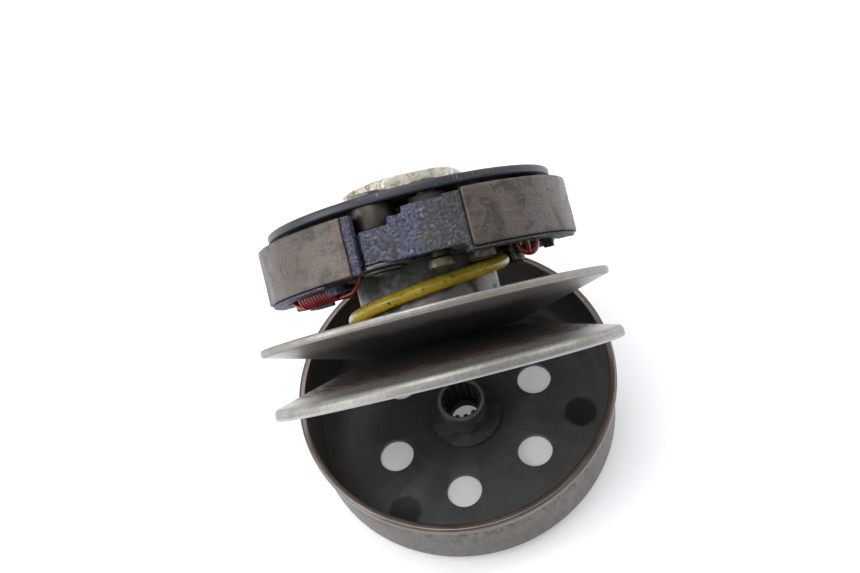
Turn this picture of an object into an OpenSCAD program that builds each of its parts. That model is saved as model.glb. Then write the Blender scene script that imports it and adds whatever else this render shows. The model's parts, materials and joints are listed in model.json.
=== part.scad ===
// Rear half of a belt drive: driven pulley with its three-shoe centrifugal clutch,
// lying in the clutch bell that it drives. Millimetres, +Z up.
// The origin is the centre of the bell's underside; the bell's own axis is Z.
// The pulley is drawn along its own axis ("height" below means height along that
// axis, 0 at the fixed sheave's rim) and lean() lays it in the bell.

/* [Bell] */
// Inner radius of the drum that the shoes grip
bell_bore_r = 53.5; // [53:0.1:54]
// Thickness of the drum wall
bell_wall = 1.5; // [1.2:0.1:2]
// Height of the drum
bell_h = 31.56; // [30:0.1:32]
// Thickness of the drum floor
bell_floor = 2; // [1.6:0.1:2.2]
// Outer radius of the rim bead
bead_r = 56.2; // [55.8:0.1:57]
// Radius of the round holes in the floor
vent_r = 6.3; // [5:0.1:7]
// Radius of the circle that the floor holes lie on
vent_ring_r = 29.4; // [27:0.1:31]
// Number of floor holes
vent_count = 6; // [3:1:6]
// Radius of the hub boss inside the drum
boss_r = 8.5; // [8.3:0.1:8.5]
// Height of the hub boss above the underside
boss_h = 15.5; // [12:0.5:16]

/* [Sheaves] */
// Outer radius of both sheaves
sheave_r = 58.1; // [57.5:0.1:58.3]
// Half-angle of the belt groove, degrees
groove_angle = 14.5; // [13:0.25:15]
// Plate thickness of the movable sheave
plate_t = 2.4; // [2:0.1:2.6]
// Height of the fixed sheave's belt face at its hub
fixed_face_h = 12.8; // [12.5:0.1:13]
// Gap between the two sheaves at the hub when the groove is closed
face_gap = 0.2; // [0.1:0.1:0.5]
// Travel of the movable sheave, which opens the groove
travel = 10; // [8:0.5:10]
// Turn of the movable sheave over its travel, degrees
cam_turn = 35; // [25:1:40]

/* [Clutch] */
// Outer radius of the friction linings at rest
lining_r = 51.4; // [50.5:0.1:51.4]
// Height of the linings' lower edge
lining_h0 = 36.96; // [36.5:0.1:38]
// Height of the linings' upper edge
lining_h1 = 54.57; // [53:0.1:55]
// Radius of the circle of the pivot pins
pivot_ring_r = 39.5; // [39:0.1:40]
// Radius of a pivot pin
pivot_r = 4; // [3.5:0.1:4]
// Outer radius of the drive plate
drive_r = 47.3; // [46.5:0.1:48]
// Height of the drive plate's underside
drive_h = 56.4; // [56.2:0.1:57]
// Thickness of the drive plate
drive_t = 2.8; // [2.5:0.1:3]
// Width across flats of the clutch nut
nut_af = 36; // [34:1:38]
// Height of the clutch nut
nut_t = 7.7; // [6:0.1:8]

/* [Springs] */
// Wire radius of the contra spring
contra_wire_r = 2.2; // [2:0.1:2.25]
// Mean coil radius of the contra spring
contra_r = 25.8; // [25.7:0.1:26]
// Wire radius of a shoe spring
shoe_wire_r = 0.65; // [0.5:0.05:0.7]
// Mean coil radius of a shoe spring
shoe_coil_r = 2.9; // [2.6:0.1:3]

/* [Bearings] */
// Bore radius of the ball bearing
ball_bore_r = 7.5; // [7.5:0.1:7.5]
// Outer radius of the ball bearing
ball_outer_r = 14; // [14:0.1:14]
// Width of the ball bearing
ball_w = 7; // [7:0.1:7]
// Bore radius inside the needle rollers
needle_bore_r = 8.5; // [8.5:0.1:8.5]
// Outer radius of the needle bearing
needle_outer_r = 11.5; // [11.5:0.1:11.5]

/* [Resting place] */
// Tilt of the pulley's axis above level, degrees
lean_tilt = 31.65; // [31.4:0.05:32]
// Turn of the pulley's axis away from +Y towards +X, degrees
lean_turn = 3.33; // [3:0.01:3.6]

/* [Hidden] */
$fn = 96;

fit = 0.05;        // radial clearance of a running fit
apart = 0.15;      // gap between flat faces that slide on each other

// place of the fixed sheave's rim centre, and the pulley's axis
lean_x = -1.07;
lean_y = -12.95;
lean_z = 53.8;

// bell
wall_r = bell_bore_r + bell_wall;
corner_r = 6;                   // outer radius of the floor corner
corner_in = corner_r - bell_wall;
bead_h = 3.2;                   // height of the rim bead
groove_h = 0.8;                 // height of the groove under the bead
groove_depth = 0.6;
floor_hole_r = 9.5;             // hole that the hub is welded into
flange_r = 13;
flange_t = 1.6;
spline_r = 7;                   // bottom of the spline grooves
spline_tip_r = 6.2;
pilot_r = 5.5;                  // plain end of the bore
pilot_h = 4.5;
spline_start_h = 5.5;            // the spline grooves begin just above it
spline_count = 14;
spline_w = 1.5;
vent_phase = 13.9;              // direction of the first floor hole, degrees
spot_r = 5.6;                   // shallow pressed spots between the holes
spot_ring_r = 42.5;
spot_depth = 0.7;
spot_phase = 103.9;

// sheaves and hub
hub_r = 17;
face_hub_r = 25;                // where the cones begin
slope = tan(groove_angle);
plate_h = plate_t / cos(groove_angle);
lip_r = plate_t / 2;
rim_h0 = 0.6;                   // lowest edge of the fixed sheave's rim
shoulder_r = 2.4;               // rounding of the fixed sheave's belt face into its rim
rim_edge_r = 1;
movable_face_h = fixed_face_h + face_gap;
hub_end_h = -1;
flat_t = 3;                     // thickness of the flat middle of each sheave
hub_flange_t = 2.5;
thread_r = 14;
keyed_r = 14.5;
keyed_flats = 25;
thread_end_h = drive_h + drive_t + nut_t - 0.5;
nut_turn = 15;                  // direction of one corner of the nut, degrees

// sleeve and collar
sleeve_r = 20.7;
sleeve_top_h = 45;
sleeve_flange_r = 25;
collar_bore_r = 21.05;
collar_r = 23;
collar_h0 = movable_face_h + flat_t + 1;
collar_t = 1.4;
collar_top_h = 44.5;
collar_flange_r = 28.4;
pin_h = 37;                     // height of the guide pins
pin_r = 3;
pin_phase = 30;
slot_steps = 10;
seal_r = 18.6;
seal_w = 3;
ring_wire_r = 0.9;
ring_heights = [20.6, 42];

// bearings
ball_h = 1.8;                   // lower face of the ball bearing
ball_pitch_r = 10.75;
ball_r = 2;
ball_count = 9;
clip_t = 1.2;
needle_h = 40;
needle_w = 15;
needle_r = 1;
needle_count = 20;
needle_pitch_r = needle_bore_r + needle_r;

// clutch
first_pivot = -104;             // direction of the first pivot pin, degrees
lining_t = 3;
shoe_r = lining_r - lining_t;
arm_r = 49.5;
arm_in_r = 31.2;
arm_h = 38.3;                   // underside of the shoe arms
rim_bottom = 35.9;              // underside of the rim below a lining
spot_face_h = 39;
damper_angle = 24;              // from a pivot pin to its damper pin, degrees
stud_angle = 42.5;
pin_ring_r = 40;                // circle of the damper pins and studs
washer_r = 9.9;
washer_room_r = 10.4;
spacer_r = 7;                   // spacer between a shoe and the drive plate
spacer_room_r = 7.6;            // clearance for it in the arm's steps
pin_head_r = 4.1;
pin_head_h0 = 33.8;
pin_head_h1 = 36.8;
rubber_r = 5.5;
rubber_hole_r = 6.7;
hook_angle = 61.3;              // spring hook on a shoe, degrees past its pivot
hook_ring_r = 45;
heel_angle = -18;               // spring hook on a shoe's heel
heel_ring_r = 35.4;
spring_h = 36.2;                // height of the shoe springs' axes
hook_hole_r = 1.4;
hook_a = polar(hook_ring_r, hook_angle);
hook_b = polar(heel_ring_r, 120 + heel_angle);
coil_start = 5.3;               // where the coils begin and end, from the hook on the shoe
coil_end = 19.7;
pocket_r = 4.1;                 // room for the coils in the shoe

function pivot_at(k) = first_pivot + 120 * (k - 1);
function polar(r, angle) = [r * cos(angle), r * sin(angle)];
// points of an arc about c, from angle a0 to a1
function arc(c, r, a0, a1, n = 8) =
  [for (i = [0 : n]) c + polar(r, a0 + (a1 - a0) * i / n)];

// lays the pulley in the bell
module lean() {
  translate([lean_x, lean_y, lean_z]) rotate([lean_tilt - 90, 0, -lean_turn]) children();
}

// one copy for each of the three shoes
module per_shoe() {
  for (k = [1 : 3]) rotate([0, 0, pivot_at(k)]) children();
}

// upright tube or disc between two heights
module ring(r_in, r_out, h0, h1) {
  translate([0, 0, h0]) difference() {
    cylinder(r = r_out, h = h1 - h0);
    if (r_in > 0) translate([0, 0, -1]) cylinder(r = r_in, h = h1 - h0 + 2);
  }
}

// a ring's stretch from angle a0 to a1
module arc_block(r_in, r_out, a0, a1, h0, h1) {
  rotate([0, 0, a0]) rotate_extrude(angle = a1 - a0)
    translate([r_in, h0]) square([r_out - r_in, h1 - h0]);
}

// lays X along the shoe's spring, from the hook on the shoe
module along_spring(h) {
  translate([hook_a.x, hook_a.y, h])
    rotate([0, 0, atan2(hook_b.y - hook_a.y, hook_b.x - hook_a.x)]) children();
}

// upright cylinder at a polar place
module post(ring_r, angle, r, h0, h1) {
  rotate([0, 0, angle]) translate([ring_r, 0, h0]) cylinder(r = r, h = h1 - h0, $fn = 48);
}

// a tube of round section swept along a path; each section faces along the path
module sweep(path, r, sides) {
  n = len(path);
  function along(i) = let (d = path[min(i + 1, n - 1)] - path[max(i - 1, 0)]) d / norm(d);
  function side(t) = let (s = cross(t, abs(t.z) < 0.9 ? [0, 0, 1] : [0, 1, 0])) s / norm(s);
  rings = [for (i = [0 : n - 1]) let (t = along(i), u = side(t), v = cross(t, u))
    [for (j = [0 : sides - 1]) let (q = 360 * j / sides) path[i] + r * (cos(q) * u + sin(q) * v)]];
  points = [for (one = rings) each one];
  polyhedron(points = points, faces = concat(
    [[for (j = [0 : sides - 1]) sides - 1 - j]],
    [for (i = [0 : n - 2]) for (j = [0 : sides - 1]) let (k = (j + 1) % sides)
      each [[i * sides + j, i * sides + k, (i + 1) * sides + k],
            [i * sides + j, (i + 1) * sides + k, (i + 1) * sides + j]]],
    [[for (j = [0 : sides - 1]) (n - 1) * sides + j]]));
}

// ---- bell ----

module bell_drum() {
  groove_top = bell_h - bead_h;
  profile = concat(
    [[floor_hole_r, 0]],
    arc([wall_r - corner_r, corner_r], corner_r, -90, 0),
    [[wall_r, groove_top - groove_h - groove_depth],
     [wall_r - groove_depth, groove_top - groove_h],
     [wall_r - groove_depth, groove_top],
     [bead_r - 0.5, groove_top]],
    arc([bead_r - 0.9, bell_h - 0.9], 0.9, -30, 90, 5),
    arc([bell_bore_r + 0.5, bell_h - 0.5], 0.5, 90, 180, 4),
    arc([bell_bore_r - corner_in, bell_floor + corner_in], corner_in, 0, -90),
    [[floor_hole_r, bell_floor]]);
  color("dimgray") difference() {
    rotate_extrude() polygon(profile);
    for (i = [0 : vent_count - 1])
      post(vent_ring_r, vent_phase + i * 360 / vent_count, vent_r, -1, bell_floor + 1);
    for (i = [0 : 2])
      post(spot_ring_r, spot_phase + i * 120, spot_r, bell_floor - spot_depth, bell_floor + 1);
  }
}

module bell_hub() {
  color("slategray") difference() {
    union() {
      ring(0, floor_hole_r, 0, bell_floor);
      ring(0, flange_r, bell_floor, bell_floor + flange_t);
      ring(0, boss_r, bell_floor + flange_t, boss_h);
    }
    ring(0, pilot_r, -1, pilot_h + 1);
    ring(0, spline_tip_r, pilot_h, boss_h + 1);
    for (i = [0 : spline_count - 1]) rotate([0, 0, i * 360 / spline_count])
      translate([0, -spline_w / 2, spline_start_h]) cube([spline_r, spline_w, boss_h]);
  }
}

// ---- fixed half ----

module fixed_face() {
  shoulder = sheave_r - shoulder_r;
  shoulder_h = fixed_face_h - (shoulder - face_hub_r) * slope - shoulder_r / cos(groove_angle);
  color("lightslategray") lean() rotate_extrude() polygon(concat(
    [[hub_r, fixed_face_h], [face_hub_r, fixed_face_h]],
    arc([shoulder, shoulder_h], shoulder_r, 90 - groove_angle, 0),
    arc([sheave_r - rim_edge_r, rim_h0 + rim_edge_r], rim_edge_r, 0, -90 - groove_angle),
    [[face_hub_r + 1.5, fixed_face_h - flat_t], [hub_r, fixed_face_h - flat_t]]));
}

module hub_tube() {
  flange_top = fixed_face_h - flat_t;
  color("silver") lean() difference() {
    union() {
      ring(0, hub_r, hub_end_h, drive_h);
      ring(0, face_hub_r, flange_top - hub_flange_t, flange_top);
      intersection() {
        ring(0, keyed_r, drive_h, drive_h + drive_t);
        translate([-keyed_flats / 2, -hub_r, drive_h]) cube([keyed_flats, 2 * hub_r, drive_t]);
      }
      intersection() {
        ring(0, thread_r, drive_h + drive_t, thread_end_h);
        translate([-keyed_flats / 2, -hub_r, drive_h]) cube([keyed_flats, 2 * hub_r, 20]);
      }
    }
    ring(0, ball_outer_r, hub_end_h - 1, ball_h + ball_w);
    ring(0, ball_outer_r + 1, ball_h - clip_t, ball_h);
    ring(0, needle_outer_r, hub_end_h - 1, thread_end_h + 1);
    for (i = [0 : 2]) rotate([0, 0, pin_phase + 120 * i]) translate([0, 0, pin_h])
      rotate([0, 90, 0]) cylinder(r = pin_r, h = hub_r + 1, $fn = 48);
  }
}

module guide_pins() {
  color("gainsboro") lean() for (i = [0 : 2]) rotate([0, 0, pin_phase + 120 * i])
    translate([needle_outer_r + 0.5, 0, pin_h]) rotate([0, 90, 0])
      cylinder(r = pin_r, h = sleeve_r - needle_outer_r - 0.6, $fn = 48);
}

// ---- bearings ----

module raceway(r_in, r_out) {
  difference() {
    ring(r_in, r_out, ball_h, ball_h + ball_w);
    rotate_extrude() translate([ball_pitch_r, ball_h + ball_w / 2])
      circle(r = ball_r + fit, $fn = 32);
  }
}

module bearing_outer_ring() {
  color("silver") lean() raceway(ball_pitch_r + 1.25, ball_outer_r);
}

module bearing_inner_ring() {
  color("silver") lean() raceway(ball_bore_r, ball_pitch_r - 1.25);
}

module ball_places() {
  for (i = [0 : ball_count - 1]) rotate([0, 0, i * 360 / ball_count])
    translate([ball_pitch_r, 0, ball_h + ball_w / 2]) children();
}

module bearing_balls() {
  color("gainsboro") lean() ball_places() sphere(r = ball_r, $fn = 32);
}

module bearing_cage() {
  middle = ball_h + ball_w / 2;
  color("peru") lean() difference() {
    ring(ball_pitch_r - 0.6, ball_pitch_r + 0.6, middle - 1.5, middle + 2.4);
    ball_places() sphere(r = ball_r + fit, $fn = 32);
  }
}

module bearing_circlip() {
  color("dimgray") lean() difference() {
    ring(ball_outer_r - 1.6, ball_outer_r + 1, ball_h - clip_t, ball_h);
    translate([0, -2, ball_h - clip_t - 1]) cube([hub_r, 4, clip_t + 2]);
    for (side = [-1, 1])
      post(ball_outer_r - 0.4, side * 16, 0.7, ball_h - clip_t - 1, ball_h + 1);
  }
}

module needle_shell() {
  color("silver") lean() difference() {
    ring(needle_pitch_r, needle_outer_r, needle_h, needle_h + needle_w);
    ring(0, needle_pitch_r + needle_r + 0.1, needle_h + 0.8, needle_h + needle_w - 0.8);
  }
}

module needle_rollers() {
  color("gainsboro") lean() for (i = [0 : needle_count - 1])
    post(needle_pitch_r, i * 360 / needle_count, needle_r, needle_h + 1.8, needle_h + needle_w - 1.8);
}

module needle_cage() {
  color("dimgray") lean() difference() {
    ring(needle_pitch_r - 0.35, needle_pitch_r + 0.7, needle_h + 1, needle_h + needle_w - 1);
    for (i = [0 : needle_count - 1])
      post(needle_pitch_r, i * 360 / needle_count, needle_r + fit,
        needle_h + 1.7, needle_h + needle_w - 1.7);
  }
}

// ---- movable half ----

module movable_face() {
  tip = [sheave_r - lip_r, movable_face_h + (sheave_r - lip_r - face_hub_r) * slope + plate_h / 2];
  color("lightslategray") lean() rotate_extrude() polygon(concat(
    [[sleeve_r, movable_face_h], [face_hub_r, movable_face_h]],
    arc(tip, lip_r, groove_angle - 90, groove_angle + 90),
    [[sleeve_flange_r, movable_face_h + flat_t], [sleeve_r, movable_face_h + flat_t]]));
}

module slotted_sleeve() {
  color("silver") lean() difference() {
    union() {
      ring(0, sleeve_r, movable_face_h, sleeve_top_h);
      ring(0, sleeve_flange_r, movable_face_h + flat_t, collar_h0 - apart);
    }
    ring(0, hub_r + fit, 0, sleeve_top_h + 1);
    ring(0, seal_r, movable_face_h + 0.6, movable_face_h + 0.6 + seal_w);
    ring(0, seal_r, sleeve_top_h - 0.6 - seal_w, sleeve_top_h - 0.6);
    for (h = ring_heights)
      ring(sleeve_r - 2 * ring_wire_r + 0.2, sleeve_r + 1, h - ring_wire_r - 0.2, h + ring_wire_r + 0.2);
    for (i = [0 : 2]) for (s = [0 : slot_steps])
      rotate([0, 0, pin_phase + 120 * i - cam_turn * s / slot_steps])
        translate([hub_r - 1, 0, pin_h - travel * s / slot_steps])
          rotate([0, 90, 0]) cylinder(r = pin_r + 0.35, h = 6, $fn = 48);
  }
}

module o_rings() {
  color("black") lean() for (h = ring_heights) rotate_extrude()
    translate([collar_bore_r - fit - ring_wire_r, h]) circle(r = ring_wire_r, $fn = 24);
}

module oil_seals() {
  color("black") lean() for (h = [movable_face_h + 0.6, sleeve_top_h - 0.6 - seal_w])
    ring(hub_r + fit, seal_r, h, h + seal_w);
}

module spring_collar() {
  color("gray") lean() {
    ring(collar_bore_r, collar_r, collar_h0, collar_top_h);
    ring(collar_r - 0.5, collar_flange_r, collar_h0, collar_h0 + collar_t);
  }
}

// the contra spring: a closed turn at each end and open turns between
contra_h0 = collar_h0 + collar_t + contra_wire_r + fit;
contra_h1 = drive_h - contra_wire_r - fit;
contra_start = -505;            // direction of the lower end, degrees
closed_turns = 0.8;
closed_pitch = 2 * contra_wire_r + 0.1;
open_turns = 1.63;
closed_rise = closed_turns * closed_pitch;
contra_turns = 2 * closed_turns + open_turns;

function contra_height(t) =
  t < closed_turns ? contra_h0 + t * closed_pitch
  : t > closed_turns + open_turns ? contra_h1 - (contra_turns - t) * closed_pitch
  : contra_h0 + closed_rise
    + (contra_h1 - contra_h0 - 2 * closed_rise) * (t - closed_turns) / open_turns;

module contra_spring() {
  steps = 110;
  path = [for (i = [0 : steps]) let (t = contra_turns * i / steps, at = contra_start + 360 * t)
    [contra_r * cos(at), contra_r * sin(at), contra_height(t)]];
  color("gold") lean() sweep(path, contra_wire_r, 10);
}

// ---- clutch ----

module drive_plate() {
  color("darkslategray") lean() difference() {
    rotate_extrude() polygon([
      [0, drive_h], [drive_r - 0.4, drive_h], [drive_r, drive_h + 0.4],
      [drive_r, drive_h + drive_t - 0.5], [drive_r - 0.5, drive_h + drive_t], [0, drive_h + drive_t]]);
    intersection() {
      ring(0, keyed_r + fit, drive_h - 1, drive_h + drive_t + 1);
      translate([-keyed_flats / 2 - fit, -hub_r, drive_h - 1])
        cube([keyed_flats + 2 * fit, 2 * hub_r, drive_t + 2]);
    }
    per_shoe() {
      post(pivot_ring_r, 0, pivot_r, drive_h - 1, drive_h + drive_t + 1);
      post(pin_ring_r, damper_angle, pin_r, drive_h - 1, drive_h + drive_t + 1);
      post(33, 70, 5, drive_h - 1, drive_h + drive_t + 1);
    }
  }
}

module pivot_pins() {
  color("silver") lean() per_shoe() difference() {
    union() {
      post(pivot_ring_r, 0, pivot_r, 35.9, drive_h + drive_t);
      post(pivot_ring_r, 0, pivot_r + 1.6, drive_h + drive_t, drive_h + drive_t + 1.2);
    }
    difference() {
      post(pivot_ring_r, 0, pivot_r + 1, 36.6, 37.5);
      post(pivot_ring_r, 0, pivot_r - 0.8, 36, 38);
    }
  }
}

module pivot_spacers() {
  color("rosybrown") lean() per_shoe() difference() {
    post(pivot_ring_r, 0, spacer_r, 49.2, drive_h);
    post(pivot_ring_r, 0, pivot_r, 48, drive_h + 1);
  }
}

module pivot_washers() {
  color("darkgray") lean() per_shoe() difference() {
    post(pivot_ring_r, 0, washer_r, spot_face_h - 1.4, spot_face_h - 0.2);
    post(pivot_ring_r, 0, pivot_r, spot_face_h - 2, spot_face_h);
  }
}

module e_clips() {
  color("dimgray") lean() per_shoe() difference() {
    post(pivot_ring_r, 0, 6.8, 36.65, 37.45);
    post(pivot_ring_r, 0, pivot_r - 0.8, 36, 38);
    translate([pivot_ring_r - 2.6, 0, 36]) cube([5.2, 9, 2]);
  }
}

module damper_pins() {
  color("tan") lean() per_shoe() {
    post(pin_ring_r, damper_angle, pin_r, pin_head_h1, drive_h + drive_t);
    post(pin_ring_r, damper_angle, pin_r + 1.4, drive_h + drive_t, drive_h + drive_t + 1);
    post(pin_ring_r, damper_angle, pin_head_r, pin_head_h0, pin_head_h1);
  }
}

module damper_rubbers() {
  color("black") lean() per_shoe() difference() {
    post(pin_ring_r, damper_angle, rubber_r, arm_h + 1, drive_h - 0.6);
    post(pin_ring_r, damper_angle, pin_r, arm_h, drive_h + 1);
  }
}

module clutch_nut() {
  nut_h = drive_h + drive_t;
  corner = nut_af / 2 / cos(30);
  color("wheat") lean() difference() {
    intersection() {
      translate([0, 0, nut_h]) rotate([0, 0, nut_turn]) cylinder(r = corner, h = nut_t, $fn = 6);
      rotate_extrude() polygon([
        [0, nut_h], [corner - 1.4, nut_h], [corner, nut_h + 0.8],
        [corner, nut_h + nut_t - 1.1], [corner - 2, nut_h + nut_t], [0, nut_h + nut_t]]);
    }
    ring(0, thread_r, nut_h - 1, nut_h + nut_t + 1);
  }
}

module shoe(k) {
  lean() rotate([0, 0, pivot_at(k)]) color("darkslategray") difference() {
    union() {
      // body behind the lining
      arc_block(32, shoe_r, 28, 115, 37.4, 54.2);
      // raised strips at the two ends of the lining
      arc_block(shoe_r - 1, lining_r - 0.5, 112.2, 115.4, 37, 54.5);
      arc_block(shoe_r - 1, lining_r - 1.1, 31.6, 33.8, 37.7, 54);
      // arm and pivot boss
      arc_block(arm_in_r, arm_r, -3, 33, arm_h, 53.3);
      post(pivot_ring_r, 0, 7.6, arm_h, 48.9);
      // heel that carries the previous shoe's spring
      arc_block(29.6, 37.9, -21, -2, arm_h + 0.2, 47);
      // rim under the lining
      arc_block(44.6, shoe_r - 0.5, 32.4, 100, rim_bottom, 38);
      arc_block(shoe_r - 1, lining_r - 0.9, 32.4, 100, rim_bottom, lining_h0);
      // guard inside the spring, and a block past its far end
      along_spring(32) translate([5, pocket_r + 0.4, 0]) cube([8, 1.4, 6]);
      arc_block(40, 43.5, 92, 98, 34, 38);
    }
    // pocket for the spring and its hook
    along_spring(spring_h) {
      translate([coil_start - 1.3, 0, 0]) rotate([0, 90, 0])
        cylinder(r = pocket_r, h = coil_end - coil_start + 3, $fn = 48);
      translate([0.4, 0, 0]) rotate([0, 90, 0]) cylinder(r = 2, h = coil_start, $fn = 32);
    }
    // the tail is thinner where it passes the next shoe's heel, and clears its pivot
    arc_block(25, 38.5, 98, 125, 30, 60);
    post(pivot_ring_r, 120, 8.7, 30, 60);
    post(pivot_ring_r, 120, washer_room_r, 30, spot_face_h);
    // the arm steps down towards the pivot
    arc_block(25, 55, -6, 7.5, 49, 60);
    arc_block(25, 55, 7, 13, 51.2, 60);
    post(pivot_ring_r, 0, spacer_room_r, 48.95, 60);
    post(pivot_ring_r, 0, pivot_r + fit, arm_h - 1, 50);
    post(pivot_ring_r, 0, washer_room_r, arm_h - 1, spot_face_h);
    post(pin_ring_r, damper_angle, rubber_hole_r, arm_h - 1, 55);
    post(hook_ring_r, hook_angle, hook_hole_r, rim_bottom - 1, 43);
    post(heel_ring_r, heel_angle, hook_hole_r, arm_h - 1, 43);
  }
}

module lining(k) {
  color("gray") lean() rotate([0, 0, pivot_at(k)])
    arc_block(shoe_r, lining_r, 33.8, 112.2, lining_h0, lining_h1);
}

module shoe_stud(k) {
  color("tan") lean() rotate([0, 0, pivot_at(k)])
    post(pin_ring_r, stud_angle, pin_head_r, pin_head_h0, 37.4);
}

// extension spring from shoe k to the heel of the next shoe
module shoe_spring(k) {
  span = norm(hook_b - hook_a);
  turns = 11;
  steps = 14;
  coil = [for (i = [0 : turns * steps]) let (at = 360 * i / steps)
    [coil_start + (coil_end - coil_start) * i / (turns * steps),
     shoe_coil_r * sin(at), -shoe_coil_r * cos(at)]];
  hook = [[0, 0, 1.2], [0.5, 0, 0], [2, 0, -1], [3.8, 0, -2.2]];
  path = concat([[0, 0, 5.6]], hook, coil,
    [for (i = [3 : -1 : 0]) [span - hook[i].x, hook[i].y, hook[i].z]], [[span, 0, 5.6]]);
  color("firebrick") lean() rotate([0, 0, pivot_at(k)])
    along_spring(spring_h) sweep(path, shoe_wire_r, 6);
}

bell_drum();
bell_hub();
fixed_face();
hub_tube();
bearing_outer_ring();
bearing_circlip();
needle_shell();
guide_pins();
drive_plate();
pivot_pins();
pivot_spacers();
pivot_washers();
e_clips();
damper_pins();
damper_rubbers();
clutch_nut();
contra_spring();
spring_collar();
movable_face();
slotted_sleeve();
o_rings();
oil_seals();
shoe(1);  // shoe_1
shoe(2);  // shoe_2
shoe(3);  // shoe_3
lining(1);  // lining_1
lining(2);  // lining_2
lining(3);  // lining_3
shoe_stud(1);  // shoe_stud_1
shoe_stud(2);  // shoe_stud_2
shoe_stud(3);  // shoe_stud_3
shoe_spring(1);  // shoe_spring_1
shoe_spring(2);  // shoe_spring_2
shoe_spring(3);  // shoe_spring_3
bearing_inner_ring();
bearing_balls();
bearing_cage();
needle_rollers();
needle_cage();
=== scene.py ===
"""Looks of the driven pulley and centrifugal clutch set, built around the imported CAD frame.

The bell stands on the floor about the row's Z axis. The pulley's pieces are modelled along the
pulley's own axis, in millimetres, and placed by LEAN, which is worked out from the joints.
"""
import json
import math

import bmesh
import bpy
from mathutils import Matrix, Vector, noise


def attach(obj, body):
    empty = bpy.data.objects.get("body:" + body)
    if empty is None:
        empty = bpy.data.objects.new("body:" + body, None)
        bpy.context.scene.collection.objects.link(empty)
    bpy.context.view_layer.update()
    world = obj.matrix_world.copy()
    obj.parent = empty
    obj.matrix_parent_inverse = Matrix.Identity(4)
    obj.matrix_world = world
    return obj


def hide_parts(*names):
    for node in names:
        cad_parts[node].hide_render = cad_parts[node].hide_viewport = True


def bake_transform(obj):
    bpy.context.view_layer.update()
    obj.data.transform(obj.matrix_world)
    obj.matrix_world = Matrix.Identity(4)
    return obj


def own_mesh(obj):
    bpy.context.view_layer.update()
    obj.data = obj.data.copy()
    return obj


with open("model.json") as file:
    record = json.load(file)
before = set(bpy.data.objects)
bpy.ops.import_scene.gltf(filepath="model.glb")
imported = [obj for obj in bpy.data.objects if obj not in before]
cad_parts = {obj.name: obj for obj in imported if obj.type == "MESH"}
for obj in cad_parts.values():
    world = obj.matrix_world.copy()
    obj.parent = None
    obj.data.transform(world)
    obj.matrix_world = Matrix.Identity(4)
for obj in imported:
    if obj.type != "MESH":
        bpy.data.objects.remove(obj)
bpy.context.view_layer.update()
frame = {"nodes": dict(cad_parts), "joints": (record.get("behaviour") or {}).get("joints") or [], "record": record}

MM = 0.001
JOINTS = {joint["name"]: joint for joint in frame["joints"]}

# ---------------------------------------------------------------- millimetres, degrees and counts
CAM_PIVOT_H = 16            # height of the sheave_cam joint's point along the pulley's axis

BELL_BORE_R = 53.5
BELL_WALL_R = 55.0
BELL_H = 31.56
BELL_FLOOR = 2.0
BEAD_R = 56.2
BEAD_H = 3.2
CORNER_R = 6.0
HUB_HOLE_R = 9.5
BOSS_H = 15.5
SPLINE_ROOT_R = 7.2
VENT_R = 6.3
VENT_RING_R = 29.4
VENT_COUNT = 6
VENT_PHASE = 13.9
SPOT_R = 5.6
SPOT_RING_R = 42.5
SPOT_PHASE = 103.9
SPOT_DEPTH = 0.7

SHEAVE_R = 58.1
GROOVE_ANGLE = math.radians(14.5)   # each side's slope, in radians
PLATE_T = 2.4
PLATE_H = PLATE_T / math.cos(GROOVE_ANGLE)
FACE_HUB_R = 25.0
FIXED_FACE_H = 12.8
MOVABLE_FACE_H = 13.0
FIXED_RIM_H = 0.35          # where the fixed sheave's back would meet its rim
FLAT_T = 3.0
HUB_R = 17.0
SLEEVE_R = 20.7
SLEEVE_FLANGE_R = 25.0

COLLAR_BORE_R = 21.05
COLLAR_R = 23.0
COLLAR_H0 = 17.0
COLLAR_T = 1.4
COLLAR_TOP_H = 44.5
COLLAR_FLANGE_R = 28.4

DRIVE_H = 56.4

CONTRA_WIRE_R = 2.2
CONTRA_R = 25.8
CONTRA_START = -505
CONTRA_OPEN_TURNS = 1.63
CONTRA_CLOSED_TURNS = 0.8
CONTRA_STEPS = 190          # steps along the wire
CONTRA_TURN_GAP = 0.1       # between closed turns
CONTRA_END_GAP = 0.05       # between the wire and what it presses on
CONTRA_SOFT_TURN = 0.06     # turns to either side that the wire's height is averaged over

SHOE_WIRE_R = 0.65
SHOE_COIL_R = 2.9
SHOE_COIL_TURNS = 11
SHOE_COIL_START, SHOE_COIL_END = 5.3, 19.7
HOOK_RING_R, HOOK_ANGLE = 45, 61.3
HEEL_RING_R, HEEL_ANGLE = 35.4, 102
SHOE_SPRING_H = 36.2
FIRST_PIVOT = -104

OVERCUT = 1                 # how far a cutter for a through hole reaches past the surface
SPOT_FLOOR_R = SPOT_R - 1.6
SPOT_MOUTH_R = SPOT_R + 0.9
SPOT_OVERCUT = 0.3          # how far a spot's cutter stands above the floor
BELL_EDGE = 0.25
BELL_EDGE_ANGLE = 50        # degrees
BELL_SMOOTH_ANGLE = 30
HUB_EDGE = 0.3
STUD_EDGE = 0.5
CAST_VOXEL = 0.40
SHOE_RIPPLE, SHOE_GRAIN = 0.10, 0.10
LINING_RIPPLE, LINING_GRAIN = 0.06, 0.08
RIPPLE_SCALE, GRAIN_SCALE = 0.16, 1.3
FILLET_STEPS = 8
TURNED_STEPS = 256
COLLAR_STEPS = 160
PLUG_SIDES = 64
SHOE_SPRING_STEPS = 24      # steps in each turn of a shoe spring


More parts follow.
